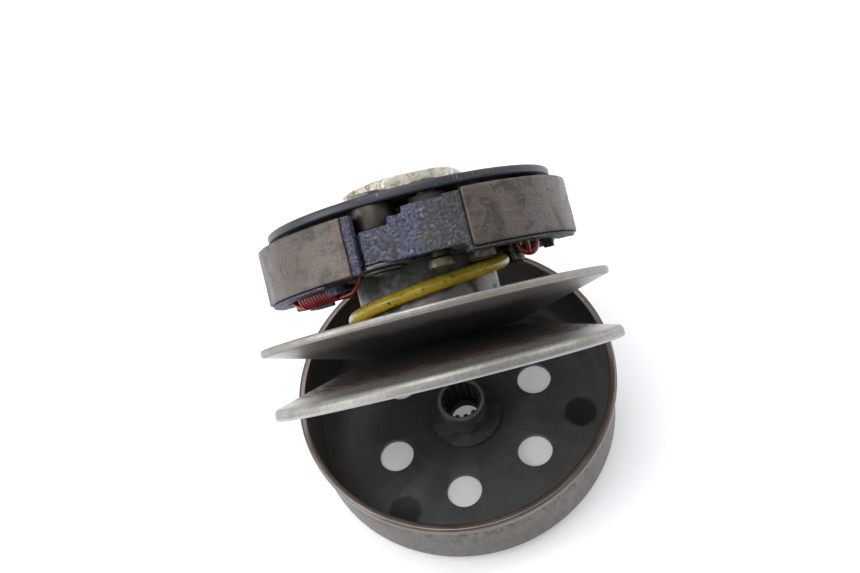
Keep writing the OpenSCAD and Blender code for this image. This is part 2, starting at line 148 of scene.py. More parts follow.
# ---------------------------------------------------------------- the pulley's own frame
def lean_matrix():
    """Columns: the pulley's sideways, crosswise and axial directions, and its origin."""
    axis = Vector(JOINTS["sheave_slide"]["axis"])
    side = axis.cross(Vector((0, 0, 1))).normalized()
    origin = Vector(JOINTS["sheave_cam"]["pos_m"]) - axis * CAM_PIVOT_H * MM
    matrix = Matrix((side, axis.cross(side), axis)).transposed().to_4x4()
    matrix.translation = origin
    return matrix


LEAN = lean_matrix()
UPRIGHT = Matrix.Identity(4)


def polar(radius, degrees, height=0.0):
    angle = math.radians(degrees)
    return Vector((radius * math.cos(angle), radius * math.sin(angle), height))


# ---------------------------------------------------------------- shader graphs
class Shader:
    """A material under construction. Each helper adds a node and returns its output socket.

    Its coordinates are those of place: the pulley's own, or the row's for the bell and floor.
    """

    def __init__(self, name, place=LEAN):
        self.material = bpy.data.materials.new(name)
        self.material.use_nodes = True
        self.tree = self.material.node_tree
        self.tree.nodes.clear()
        self.position = None
        self.place = place

    def add(self, kind, inputs=None, out=0, **settings):
        node = self.tree.nodes.new(kind)
        for key, value in settings.items():
            setattr(node, key, value)
        for key, value in (inputs or {}).items():
            if isinstance(value, bpy.types.NodeSocket):
                self.tree.links.new(value, node.inputs[key])
            else:
                node.inputs[key].default_value = value
        return node.outputs[out] if node.outputs else None

    def mm(self):
        """The coordinates in millimetres."""
        if self.position is None:
            self.position = self.add("ShaderNodeMapping", {
                "Vector": self.add("ShaderNodeTexCoord", out="Object"),
                "Location": self.place.translation, "Rotation": self.place.to_euler(),
                "Scale": (MM, MM, MM)}, vector_type="TEXTURE")
        return self.position

    def parts(self, vector):
        """The vector's x, y and z."""
        split = self.tree.nodes.new("ShaderNodeSeparateXYZ")
        self.tree.links.new(vector, split.inputs[0])
        return split.outputs

    def axes(self):
        return self.parts(self.mm())

    def math(self, operation, a, b, clamp=False):
        return self.add("ShaderNodeMath", {0: a, 1: b}, operation=operation, use_clamp=clamp)

    def flat(self):
        """The coordinates with their height left out."""
        return self.stretch((1, 1, 0))

    def radius(self):
        return self.add("ShaderNodeVectorMath", {0: self.flat()}, out="Value", operation="LENGTH")

    def around(self):
        """Direction from the axis, for patterns that go round without a seam."""
        return self.add("ShaderNodeVectorMath", {0: self.flat()}, operation="NORMALIZE")

    def turned(self, across, along):
        """Coordinates that change fast across the turning marks and slowly along them."""
        height = self.axes()[2]
        depth = self.math("ADD", self.radius(), self.math("MULTIPLY", height, 0.83))
        around = self.parts(self.around())
        return self.add("ShaderNodeCombineXYZ", {
            0: self.math("MULTIPLY", depth, across),
            1: self.math("MULTIPLY", around[0], along),
            2: self.math("MULTIPLY", around[1], along)})

    def stretch(self, scale):
        return self.add("ShaderNodeVectorMath", {0: self.mm(), 1: scale}, operation="MULTIPLY")

    def noise(self, at, scale, detail=3.0, rough=0.5, warp=0.0):
        return self.add("ShaderNodeTexNoise", {
            "Vector": at, "Scale": scale, "Detail": detail, "Roughness": rough, "Distortion": warp})

    def cells(self, at, scale):
        return self.add("ShaderNodeTexVoronoi", {"Vector": at, "Scale": scale})

    def warp(self, scale, amount):
        """A small wandering offset, to roughen the outline of a painted mark, such as the shade in a pressed spot.
        """
        wander = self.add("ShaderNodeTexNoise", {
            "Vector": self.mm(), "Scale": scale, "Detail": 3.0}, out=1)
        return self.add("ShaderNodeVectorMath", {0: wander, 1: (2 * amount,) * 3, 2: (-amount,) * 3},
                        operation="MULTIPLY_ADD")

    def span(self, value, low, high, to_low=0.0, to_high=1.0, smooth=False):
        kind = "SMOOTHSTEP" if smooth else "LINEAR"
        return self.add("ShaderNodeMapRange", {
            0: value, 1: low, 2: high, 3: to_low, 4: to_high}, interpolation_type=kind)

    def mix(self, factor, a, b):
        colours = [tuple(c) + (1,) if isinstance(c, tuple) and len(c) == 3 else c for c in (a, b)]
        return self.add("ShaderNodeMix", {0: factor, 6: colours[0], 7: colours[1]},
                        out=2, data_type="RGBA")

    def blend(self, factor, a, b):
        return self.add("ShaderNodeMix", {0: factor, 2: a, 3: b}, data_type="FLOAT")

    def times(self, *values):
        product = values[0]
        for value in values[1:]:
            product = self.math("MULTIPLY", product, value)
        return product

    def bump(self, height, distance, strength):
        return self.add("ShaderNodeBump", {
            "Height": height, "Distance": distance * MM, "Strength": strength})

    def finish(self, colour, rough, normal=None, metal=0.0, **extra):
        if isinstance(colour, tuple):
            colour = colour + (1,)
        inputs = {"Base Color": colour, "Roughness": rough, "Metallic": metal}
        if normal is not None:
            inputs["Normal"] = normal
        inputs.update({key.replace("_", " "): value for key, value in extra.items()})
        shader = self.add("ShaderNodeBsdfPrincipled", inputs)
        self.add("ShaderNodeOutputMaterial", {"Surface": shader})
        return self.material


# ---------------------------------------------------------------- materials
def sheave_steel():
    """Turned sheave: polished by the belt outside, painted darker inside as shade for the groove's dark
    reflections, with rust in a ring.
    """
    s = Shader("sheave_steel")
    radius = s.radius()
    height = s.axes()[2]
    rings = s.noise(s.turned(9.0, 1.6), 1.0, 4.0, 0.65)
    fine = s.noise(s.turned(32.0, 2.5), 1.0, 2.0, 0.6)
    cloud = s.noise(s.mm(), 0.09, 4.0, 0.6, 0.4)
    grain = s.noise(s.mm(), 1.3, 5.0, 0.7)
    edge = s.math("ADD", radius, s.span(cloud, 0.3, 0.7, -2.5, 2.5))
    # painted shade: the belt face is darker towards the hub, for the groove's dark reflections, and lighter
    # towards the rim where the belt polishes it
    wear_and_shade = s.span(edge, 43.0, 54.0, smooth=True)
    dark = s.mix(rings, (0.058, 0.056, 0.053), (0.140, 0.136, 0.129))
    light = s.mix(s.span(s.math("ADD", s.times(rings, 0.5), s.times(grain, 0.5)), 0.36, 0.62),
                  (0.175, 0.171, 0.163), (0.56, 0.555, 0.53))
    colour = s.mix(wear_and_shade, dark, light)
    # rust smears on the fixed sheave, where the belt's edge stops
    smear = s.noise(s.turned(1.6, 7.0), 1.0, 5.0, 0.7, 0.6)
    low = s.span(height, 12.0, 10.5)
    ring = s.times(s.span(radius, 38.0, 44.0, smooth=True), s.span(radius, 53.0, 48.0, smooth=True), low)
    rust = s.times(ring, s.span(smear, 0.42, 0.54, smooth=True))
    colour = s.mix(s.math("MULTIPLY", rust, 0.9), colour, (0.080, 0.034, 0.021))
    # tan film on the rim, its lower edge bare, and small dark nicks
    rim = s.times(s.span(radius, 56.2, 57.4, smooth=True), s.span(cloud, 0.3, 0.6, 0.45, 0.95))
    colour = s.mix(s.math("MULTIPLY", rim, 0.75), colour, (0.225, 0.200, 0.165))
    bare = s.times(s.span(radius, 56.0, 57.0), s.span(height, 1.6, 1.2), 0.7)
    colour = s.mix(bare, colour, (0.46, 0.48, 0.50))
    nick = s.span(s.cells(s.stretch((0.22, 0.22, 0.45)), 1.0), 0.075, 0.040, smooth=True)
    colour = s.mix(s.math("MULTIPLY", nick, 0.8), colour, (0.030, 0.026, 0.023))
    rough = s.blend(wear_and_shade, s.span(rings, 0.3, 0.7, 0.36, 0.48), s.span(grain, 0.3, 0.7, 0.26, 0.44))
    rough = s.blend(s.math("MAXIMUM", rust, s.times(rim, 0.6)), rough, 0.62)
    relief = s.math("ADD", s.math("MULTIPLY", rings, 0.5), s.math("MULTIPLY", fine, 0.3))
    relief = s.math("ADD", relief, s.times(grain, s.blend(wear_and_shade, 0.1, 0.5)))
    relief = s.math("SUBTRACT", relief, s.math("MULTIPLY", nick, 1.5))
    return s.finish(colour, rough, s.bump(relief, 0.03, 0.6), metal=0.85)


def drum_steel():
    """Pressed bell: oily grey inside, darker towards the hub, with painted shade in the pressed spots and the
    groove, brown brushed wall, bronze-tinted bead.
    """
    s = Shader("drum_steel", UPRIGHT)
    radius = s.radius()
    height = s.axes()[2]
    grain = s.noise(s.mm(), 0.9, 6.0, 0.62)
    cloud = s.noise(s.mm(), 0.07, 4.0, 0.55, 0.3)
    rings = s.noise(s.turned(2.2, 0.8), 1.0, 4.0, 0.6)
    inside = s.mix(cloud, (0.105, 0.105, 0.106), (0.165, 0.164, 0.163))
    inside = s.mix(s.span(rings, 0.42, 0.72, 0.0, 0.6), inside, (0.205, 0.202, 0.198))
    brown = s.times(s.span(s.noise(s.mm(), 0.045, 4.0, 0.65), 0.50, 0.68, smooth=True), 0.5)
    inside = s.mix(brown, inside, (0.135, 0.112, 0.090))
    # darker towards the hub, and painted shade in the pressed spots
    inside = s.mix(s.span(radius, 24.0, 13.0, 0.0, 0.5, smooth=True), inside, (0.060, 0.057, 0.053))
    spot_shade_at = s.add("ShaderNodeVectorMath", {0: s.flat(), 1: s.warp(0.35, 0.9)}, operation="ADD")
    # painted shade: each pressed spot is darkened almost to black
    for i in range(3):
        away = s.add("ShaderNodeVectorMath", {0: spot_shade_at, 1: polar(SPOT_RING_R, SPOT_PHASE + i * 120)},
                     out="Value", operation="DISTANCE")
        inside = s.mix(s.span(away, SPOT_R + 1.2, SPOT_R - 0.6, 0.0, 0.85, smooth=True), inside,
                       (0.018, 0.018, 0.019))
    # the wall's upright brush marks
    brush = s.noise(s.stretch((2.6, 2.6, 0.10)), 1.0, 5.0, 0.7)
    wall = s.mix(s.span(brush, 0.30, 0.70), (0.050, 0.045, 0.040), (0.245, 0.228, 0.205))
    wall = s.mix(s.span(cloud, 0.35, 0.7, 0.0, 0.7), wall, (0.105, 0.090, 0.076))
    dirt = s.times(s.span(s.noise(s.stretch((0.42, 0.42, 0.20)), 1.0, 5.0, 0.7), 0.47, 0.60, smooth=True),
                   s.span(height, 26.5, 19.0, 0.9, 0.3))
    wall = s.mix(dirt, wall, (0.030, 0.027, 0.024))
    bead = s.mix(s.noise(s.turned(0.5, 4.0), 1.0, 4.0, 0.6), (0.075, 0.054, 0.043), (0.22, 0.188, 0.162))
    # painted shade: the groove under the bead is darkened almost to black
    groove = s.times(s.span(height, 26.5, 27.1), s.span(height, 28.9, 28.4))
    outer = s.span(radius, 53.5, 53.75)
    colour = s.mix(outer, inside, wall)
    on_bead = s.span(height, BELL_H - BEAD_H - 0.06, BELL_H - BEAD_H + 0.34)
    colour = s.mix(on_bead, colour, bead)
    colour = s.mix(s.times(outer, groove), colour, (0.016, 0.015, 0.014))
    rough = s.blend(outer, s.span(grain, 0.3, 0.7, 0.46, 0.58), s.span(brush, 0.3, 0.7, 0.34, 0.52))
    rough = s.blend(on_bead, rough, s.span(cloud, 0.3, 0.7, 0.22, 0.36))
    metal = s.blend(outer, 0.25, 0.85)
    relief = s.blend(outer, s.math("ADD", s.times(grain, 0.5), s.times(rings, 0.6)), brush)
    relief = s.blend(on_bead, relief, s.times(s.noise(s.mm(), 0.3, 2.0, 0.5), 0.6))
    return s.finish(colour, rough, s.bump(relief, 0.05, 0.7), metal=metal)


def turned_steel(name, dark, light, rough, stain, across=6.0, metal=1.0):
    """Machined steel with turning marks and oily stains."""
    s = Shader(name)
    rings = s.noise(s.turned(across, 2.0), 1.0, 4.0, 0.65)
    smudge = s.noise(s.mm(), 0.16, 5.0, 0.62, 0.5)
    colour = s.mix(rings, dark, light)
    mark = s.times(s.span(smudge, 0.44, 0.64, smooth=True), stain)
    colour = s.mix(mark, colour, (0.055, 0.048, 0.042))
    finish = s.span(rings, 0.3, 0.7, rough[0], rough[1])
    finish = s.math("ADD", finish, s.math("MULTIPLY", mark, 0.25), clamp=True)
    return s.finish(colour, finish, s.bump(rings, 0.02, 0.6), metal=metal)


def hub_steel():
    """Splined hub: grey like the floor, its bore painted black as shade, the boss's end lighter."""
    s = Shader("hub_steel", UPRIGHT)
    radius = s.radius()
    height = s.axes()[2]
    rings = s.noise(s.turned(6.0, 2.0), 1.0, 4.0, 0.65)
    smudge = s.noise(s.mm(), 0.16, 5.0, 0.62, 0.5)
    colour = s.mix(rings, (0.075, 0.073, 0.069), (0.165, 0.160, 0.152))
    colour = s.mix(s.times(s.span(smudge, 0.44, 0.64, smooth=True), 0.6), colour, (0.048, 0.042, 0.036))
    # the boss's end is made lighter
    lighter_end = s.times(s.span(height, BOSS_H - 0.5, BOSS_H - 0.1), s.span(rings, 0.35, 0.60, 0.3, 0.9))
    colour = s.mix(lighter_end, colour, (0.27, 0.265, 0.25))
    # painted shade: the splined bore is darkened almost to black and made rough
    bore_shade = s.span(radius, SPLINE_ROOT_R + 0.3, SPLINE_ROOT_R, 0.0, 0.93)
    colour = s.mix(bore_shade, colour, s.mix(smudge, (0.010, 0.009, 0.008), (0.040, 0.033, 0.026)))
    rough = s.blend(bore_shade, s.span(rings, 0.3, 0.7, 0.40, 0.56), 0.85)
    return s.finish(colour, rough, s.bump(rings, 0.03, 0.6), metal=0.2, Specular_IOR_Level=0.25)


def cast_paint():
    """Black paint over a sand casting: a coarse leathery grain whose tops are painted light blue-grey as sheen,
    wearing to green-grey in patches that gather towards +x as painted shade.
    """
    s = Shader("cast_shoe")
    grain = s.noise(s.mm(), 1.15, 5.0, 0.66, 0.5)
    fine = s.noise(s.mm(), 3.2, 4.0, 0.6)
    patch = s.noise(s.mm(), 0.085, 4.0, 0.6, 0.6)
    # painted sheen: the grain's tops are light blue-grey, for the glossy paint's bluish highlights
    colour = s.mix(s.span(grain, 0.38, 0.66), (0.005, 0.006, 0.010), (0.135, 0.142, 0.205))
    # painted shade: more of the darker olive towards the pulley's +x side; the patches themselves are wear
    side_shade = s.span(s.axes()[0], 1.0, 8.0, -0.12, 0.16)
    wear_and_shade = s.span(s.math("ADD", patch, side_shade), 0.46, 0.56, smooth=True)
    olive = s.mix(s.span(grain, 0.34, 0.66), (0.007, 0.008, 0.006), (0.080, 0.087, 0.066))
    colour = s.mix(s.times(wear_and_shade, 0.85), colour, olive)
    bare = s.times(s.span(grain, 0.58, 0.66, smooth=True), s.span(fine, 0.42, 0.56, smooth=True),
                   s.span(s.noise(s.mm(), 0.30, 3.0, 0.6), 0.50, 0.60, smooth=True))
    colour = s.mix(s.times(bare, 0.85), colour, (0.50, 0.50, 0.43))
    scratch = s.span(s.noise(s.stretch((0.35, 0.35, 3.0)), 1.0, 3.0, 0.5, 0.8), 0.66, 0.69, smooth=True)
    colour = s.mix(s.times(scratch, 0.45), colour, (0.40, 0.40, 0.38))
    rough = s.span(grain, 0.25, 0.75, 0.50, 0.24)
    relief = s.math("ADD", s.times(grain, 1.0), s.times(fine, 0.25))
    return s.finish(colour, rough, s.bump(relief, 0.8, 1.0), metal=0.3, Specular_IOR_Level=0.9,
                    Specular_Tint=(0.80, 0.82, 1.0, 1.0))


def lining_stuff():
    """Moulded friction lining: brown-grey with metal specks and rubbing streaks."""
    s = Shader("friction_lining")
    grit = s.noise(s.mm(), 1.6, 5.0, 0.75)
    cloud = s.noise(s.mm(), 0.085, 5.0, 0.62, 0.4)
    streak = s.noise(s.turned(0.2, 5.0), 1.0, 3.0, 0.5)
    rub = s.noise(s.stretch((0.12, 0.12, 2.4)), 1.0, 4.0, 0.65)
    colour = s.mix(s.span(grit, 0.28, 0.72), (0.022, 0.019, 0.017), (0.150, 0.133, 0.118))
    colour = s.mix(s.span(cloud, 0.34, 0.50, 0.0, 0.75), colour, (0.100, 0.068, 0.053))
    colour = s.mix(s.span(cloud, 0.52, 0.62, 0.0, 0.85), colour, (0.028, 0.031, 0.025))
    blot = s.span(s.noise(s.mm(), 0.22, 5.0, 0.7, 0.7), 0.54, 0.64, smooth=True)
    colour = s.mix(s.times(blot, 0.7), colour, (0.020, 0.018, 0.016))
    colour = s.mix(s.times(s.span(rub, 0.46, 0.68), 0.5), colour, (0.026, 0.023, 0.021))
    speck = s.span(s.cells(s.mm(), 1.05), 0.24, 0.13, smooth=True)
    speck = s.times(speck, s.span(streak, 0.46, 0.64), s.span(cloud, 0.40, 0.60))
    colour = s.mix(s.times(speck, 0.6), colour, (0.30, 0.285, 0.25))
    pit = s.span(s.cells(s.stretch((0.62, 0.62, 0.8)), 1.0), 0.15, 0.07, smooth=True)
    colour = s.mix(s.times(pit, 0.75), colour, (0.025, 0.022, 0.020))
    rough = s.span(cloud, 0.3, 0.7, 0.28, 0.52)
    relief = s.math("SUBTRACT", s.times(grit, 0.6), s.times(pit, 0.9))
    return s.finish(colour, rough, s.bump(relief, 0.14, 0.85), metal=0.3, Specular_IOR_Level=0.6)


def spring_paint(name, base, shade, wear, worn_colour):
    """Enamel over spring wire, with blotches of painted shade, chipped to the dark steel below."""
    s = Shader(name)
    cloud = s.noise(s.mm(), 0.13, 4.0, 0.6)
    fine = s.noise(s.mm(), 1.1, 5.0, 0.65)
    # painted shade: the darker tone is a shaded copy of the enamel colour, laid over the lit one in blotches
    colour = s.mix(s.span(cloud, 0.35, 0.65), shade, base)
    flakes = s.noise(s.stretch((0.75, 0.75, 1.1)), 1.0, 3.0, 0.6, 1.2)
    chip = s.times(s.span(flakes, wear, wear + 0.025, smooth=True),
                   s.span(s.noise(s.mm(), 0.12, 3.0, 0.5), 0.44, 0.52, smooth=True))
    colour = s.mix(chip, colour, worn_colour)
    rough = s.math("ADD", s.span(fine, 0.3, 0.7, 0.26, 0.40), s.times(chip, 0.3))
    height = s.math("SUBTRACT", s.times(fine, 0.3), chip)
    return s.finish(colour, rough, s.bump(height, 0.06, 0.6), Coat_Weight=0.35, Coat_Roughness=0.18)


def zinc_plate():
    """Zinc-plated nut: cream film, rust where the coating has gone."""
    s = Shader("zinc_nut")
    cloud = s.noise(s.mm(), 0.22, 5.0, 0.65, 0.5)
    fine = s.noise(s.mm(), 1.4, 4.0, 0.65)
    colour = s.mix(s.span(cloud, 0.35, 0.65), (0.40, 0.375, 0.31), (0.74, 0.71, 0.61))
    rust = s.span(s.noise(s.mm(), 0.30, 5.0, 0.7, 0.8), 0.49, 0.60, smooth=True)
    colour = s.mix(s.times(rust, 0.85), colour, s.mix(fine, (0.120, 0.050, 0.026), (0.30, 0.165, 0.095)))
    grime = s.span(s.noise(s.mm(), 0.5, 4.0, 0.6), 0.60, 0.70, smooth=True)
    colour = s.mix(s.times(grime, 0.5), colour, (0.17, 0.16, 0.14))
    rough = s.math("ADD", s.span(fine, 0.3, 0.7, 0.30, 0.46), s.times(rust, 0.3), clamp=True)
    metal = s.span(rust, 0.0, 1.0, 0.75, 0.1)
    return s.finish(colour, rough, s.bump(s.math("ADD", fine, rust), 0.06, 0.6), metal=metal)


def plate_black():
    """Blackened drive plate: blue-black faces, its rim painted lighter blue-grey in streaks as highlight."""
    s = Shader("plate_steel")
    radius = s.radius()
    grain = s.noise(s.mm(), 1.5, 5.0, 0.68)
    cloud = s.noise(s.mm(), 0.09, 4.0, 0.6, 0.5)
    colour = s.mix(grain, (0.008, 0.009, 0.012), (0.042, 0.046, 0.056))
    colour = s.mix(s.span(cloud, 0.45, 0.68, 0.0, 0.55), colour, (0.044, 0.046, 0.041))
    streaks = s.noise(s.turned(2.5, 3.0), 1.0, 4.0, 0.6)
    # painted highlight: the rim is lighter blue-grey in streaks
    rim = s.times(s.span(radius, 46.4, 46.9), s.span(streaks, 0.35, 0.70, 0.2, 1.0))
    colour = s.mix(s.times(rim, 0.45), colour, (0.085, 0.092, 0.105))
    scratch = s.span(s.noise(s.stretch((0.25, 3.2, 0.25)), 1.0, 3.0, 0.5), 0.66, 0.70, smooth=True)
    colour = s.mix(s.times(scratch, 0.35), colour, (0.25, 0.25, 0.25))
    rough = s.span(grain, 0.3, 0.7, 0.44, 0.30)
    return s.finish(colour, rough, s.bump(grain, 0.10, 0.7), metal=0.25, Specular_IOR_Level=0.35)


def rubber_black():
    s = Shader("black_rubber")
    fine = s.noise(s.mm(), 1.8, 4.0, 0.6)
    dust = s.span(s.noise(s.mm(), 0.25, 4.0, 0.6), 0.5, 0.7, 0.0, 0.4)
    colour = s.mix(dust, s.mix(fine, (0.008, 0.008, 0.008), (0.020, 0.020, 0.019)), (0.045, 0.042, 0.038))
    return s.finish(colour, s.span(fine, 0.3, 0.7, 0.55, 0.72), s.bump(fine, 0.05, 0.5))


def floor_white():
    s = Shader("studio_floor", UPRIGHT)
    cloud = s.noise(s.mm(), 0.012, 4.0, 0.5)
    colour = s.mix(cloud, (0.86, 0.865, 0.875), (0.90, 0.90, 0.905))
    return s.finish(colour, 0.6, s.bump(s.noise(s.mm(), 0.8, 3.0, 0.5), 0.02, 0.3),
                    Emission_Color=(1.0, 1.0, 1.0, 1.0), Emission_Strength=0.22)


MATERIALS = {
    "drum_steel": drum_steel(),
    "hub_steel": hub_steel(),
    "sheave_steel": sheave_steel(),
    "shaft_steel": turned_steel("shaft_steel", (0.105, 0.105, 0.103), (0.235, 0.235, 0.230),
                                (0.34, 0.48), 0.8, across=3.0, metal=0.8),
    "bearing_steel": turned_steel("bearing_steel", (0.55, 0.55, 0.54), (0.78, 0.78, 0.77),
                                  (0.12, 0.22), 0.15, across=9.0),
    "clip_steel": turned_steel("clip_steel", (0.060, 0.060, 0.060), (0.17, 0.17, 0.165),
                               (0.32, 0.48), 0.4),
    "plate_steel": plate_black(),
    "cast_shoe": cast_paint(),
    "friction_lining": lining_stuff(),
    "yellow_spring": spring_paint("yellow_spring", (0.72, 0.55, 0.040), (0.52, 0.36, 0.022), 0.61,
                                  (0.035, 0.03, 0.02)),
    "red_spring": spring_paint("red_spring", (0.36, 0.024, 0.022), (0.20, 0.014, 0.014), 0.62,
                               (0.10, 0.04, 0.035)),
    "zinc_nut": zinc_plate(),
    "pin_steel": turned_steel("pin_steel", (0.085, 0.068, 0.048), (0.22, 0.190, 0.142),
                              (0.36, 0.52), 0.85),
    "spacer_steel": turned_steel("spacer_steel", (0.040, 0.034, 0.032), (0.110, 0.092, 0.086),
                                 (0.34, 0.46), 0.6),
    "cage_brass": turned_steel("cage_brass", (0.50, 0.33, 0.12), (0.70, 0.50, 0.22), (0.25, 0.38), 0.25),
    "black_rubber": rubber_black(),
}
SLOT_OF = {part["node"]: part["material_slot"] for part in frame["record"]["subparts"]}
BODY_OF = {node: body for body, nodes in frame["record"]["behaviour"]["bodies"].items() for node in nodes}


# ---------------------------------------------------------------- making pieces
SMOOTH_ANGLE = 32           # degrees; sharper edges stay sharp
BEVEL_ANGLE = 38            # degrees; sharper edges are rounded
CAST_SMOOTH_ANGLE = 60
MERGE_DIST = 0.002          # mm
FLAT_ANGLE = 1.0            # degrees; flatter joins are merged


def smooth_shade(mesh, angle):
    mesh.shade_smooth()
    mesh.set_sharp_from_angle(angle=math.radians(angle))


def piece(name, mesh, node, place=LEAN):
    """An object with the node's material that stands for the node, whose CAD part it hides."""
    obj = bpy.data.objects.new(name, mesh)
    bpy.context.scene.collection.objects.link(obj)
    obj.matrix_world = place
    mesh.materials.clear()
    mesh.materials.append(MATERIALS[SLOT_OF[node]])
    smooth_shade(mesh, SMOOTH_ANGLE)
    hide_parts(node)
    return obj


def settle(obj):
    """Bakes the piece's place into its mesh, so that its box in the row frame is exact."""
    obj.data.transform(obj.matrix_world)
    obj.matrix_world = UPRIGHT
    return obj


def riding(obj, node):
    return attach(settle(obj), BODY_OF[node])


def mesh_from(name, points, faces):
    """A mesh from points in millimetres."""
    mesh = bpy.data.meshes.new(name)
    mesh.from_pydata([[c * MM for c in p] for p in points], [], faces)
    shape = bmesh.new()
    shape.from_mesh(mesh)
    bmesh.ops.recalc_face_normals(shape, faces=shape.faces)
    shape.to_mesh(mesh)
    shape.free()
    return mesh


def filleted(corners, steps=5):
    """A closed outline of (x, y, fillet radius) corners, with each corner rounded by an arc."""
    outline = []
    count = len(corners)
    for i, (x, y, radius) in enumerate(corners):
        here = Vector((x, y))
        if radius <= 0:
            outline.append(here)
            continue
        back = (Vector(corners[i - 1][:2]) - here).normalized()
        ahead = (Vector(corners[(i + 1) % count][:2]) - here).normalized()
        half = back.angle(ahead) / 2
        reach = radius / math.tan(half)
        centre = here + (back + ahead).normalized() * radius / math.sin(half)
        start = here + back * reach - centre
        turn = start.angle_signed(here + ahead * reach - centre)
        for k in range(steps + 1):
            spin = Matrix.Rotation(-turn * k / steps, 2)
            outline.append(centre + spin @ start)
    return outline


def lathe(name, outline, segments):
    """A closed outline of (radius, height) points turned about the axis."""
    points = []
    faces = []
    rows = len(outline)
    for i in range(segments):
        angle = math.tau * i / segments
        points += [(p[0] * math.cos(angle), p[0] * math.sin(angle), p[1]) for p in outline]
    for i in range(segments):
        this, following = i * rows, (i + 1) % segments * rows
        for j in range(rows):
            k = (j + 1) % rows
            faces.append((this + j, following + j, following + k, this + k))
    return mesh_from(name, points, faces)


def frames_along(path):
    """Directions along a path and beside it, turned as little as possible from point to point."""
    tangents = []
    for i in range(len(path)):
        step = path[min(i + 1, len(path) - 1)] - path[max(i - 1, 0)]
        tangents.append(step.normalized())
    side = tangents[0].orthogonal().normalized()
    frames = []
    for tangent in tangents:
        side = (side - tangent * side.dot(tangent)).normalized()
        frames.append((side, tangent.cross(side)))
    return tangents, frames


def swept(name, path, radius, sides, round_end):
    """A round wire along a path, with its ends rounded over by a share of its radius."""
    tangents, frames = frames_along(path)
    stations = [(path[i], frames[i], radius) for i in range(len(path))]
    cap = [(math.cos(a), math.sin(a)) for a in (math.pi / 2 * k / 3 for k in range(3))]
    lip = radius * round_end
    head = [(path[0] - tangents[0] * lip * c, frames[0], radius - lip * (1 - s)) for c, s in cap]
    tail = [(path[-1] + tangents[-1] * lip * c, frames[-1], radius - lip * (1 - s))
            for c, s in reversed(cap)]
    stations = head + stations + tail
    points = []
    faces = []
    for place, (u, v), r in stations:
        for j in range(sides):
            angle = math.tau * j / sides
            points.append(place + u * r * math.cos(angle) + v * r * math.sin(angle))
    for i in range(len(stations) - 1):
        for j in range(sides):
            k = (j + 1) % sides
            faces.append((i * sides + j, i * sides + k, (i + 1) * sides + k, (i + 1) * sides + j))
    faces.append(tuple(reversed(range(sides))))
    faces.append(tuple((len(stations) - 1) * sides + j for j in range(sides)))
    return mesh_from(name, points, faces)


def modify(obj, kind, **settings):
    """Adds a modifier and applies it to the mesh at once."""
    modifier = obj.modifiers.new(kind, kind)
    for key, value in settings.items():
        setattr(modifier, key, value)
    depsgraph = bpy.context.evaluated_depsgraph_get()
    result = bpy.data.meshes.new_from_object(obj.evaluated_get(depsgraph))
    obj.modifiers.clear()
    old = obj.data
    obj.data = result
    bpy.data.meshes.remove(old)


def cut(obj, cutters):
    """Takes the cutters' solids away from the piece."""
    for cutter in cutters:
        tool = bpy.data.objects.new("cutter", cutter)
        bpy.context.scene.collection.objects.link(tool)
        tool.matrix_world = obj.matrix_world
        bpy.context.view_layer.update()
        modify(obj, "BOOLEAN", operation="DIFFERENCE", solver="EXACT", object=tool)
        bpy.data.objects.remove(tool)
        bpy.data.meshes.remove(cutter)


def from_cad(name, node, place=LEAN):
    """A copy of a CAD node's mesh in the piece's own frame, with flat faces merged."""
    mesh = frame["nodes"][node].data.copy()
    mesh.name = name
    mesh.transform(place.inverted())
    shape = bmesh.new()
    shape.from_mesh(mesh)
    bmesh.ops.remove_doubles(shape, verts=shape.verts, dist=MERGE_DIST * MM)
    bmesh.ops.dissolve_limit(shape, angle_limit=math.radians(FLAT_ANGLE),
                             verts=shape.verts, edges=shape.edges)
    shape.to_mesh(mesh)
    shape.free()
    return mesh


def eased(name, node, width, place=LEAN):
    """The CAD shape with its sharp edges rounded."""
    obj = piece(name, from_cad(name, node, place), node, place)
    if width:
        modify(obj, "BEVEL", width=width * MM, segments=3, limit_method="ANGLE",
               angle_limit=math.radians(BEVEL_ANGLE), miter_outer="MITER_ARC", use_clamp_overlap=True)
    smooth_shade(obj.data, SMOOTH_ANGLE)
    return riding(obj, node)


def cast(name, node, ripple, grain):
    """The CAD shape as a casting: remeshed with soft edges and slightly uneven faces."""
    obj = piece(name, from_cad(name, node), node)
    modify(obj, "REMESH", mode="VOXEL", voxel_size=CAST_VOXEL * MM, adaptivity=0.0,
           use_smooth_shade=True)
    modify(obj, "SMOOTH", factor=0.5, iterations=3)
    mesh = obj.data
    normals = [Vector(v.normal) for v in mesh.vertices]
    for vertex, normal in zip(mesh.vertices, normals):
        at = vertex.co / MM
        push = ripple * noise.noise(at * RIPPLE_SCALE) + grain * noise.noise(at * GRAIN_SCALE)
        vertex.co += normal * (push - ripple * 0.5) * MM
    smooth_shade(mesh, CAST_SMOOTH_ANGLE)
    return riding(obj, node)


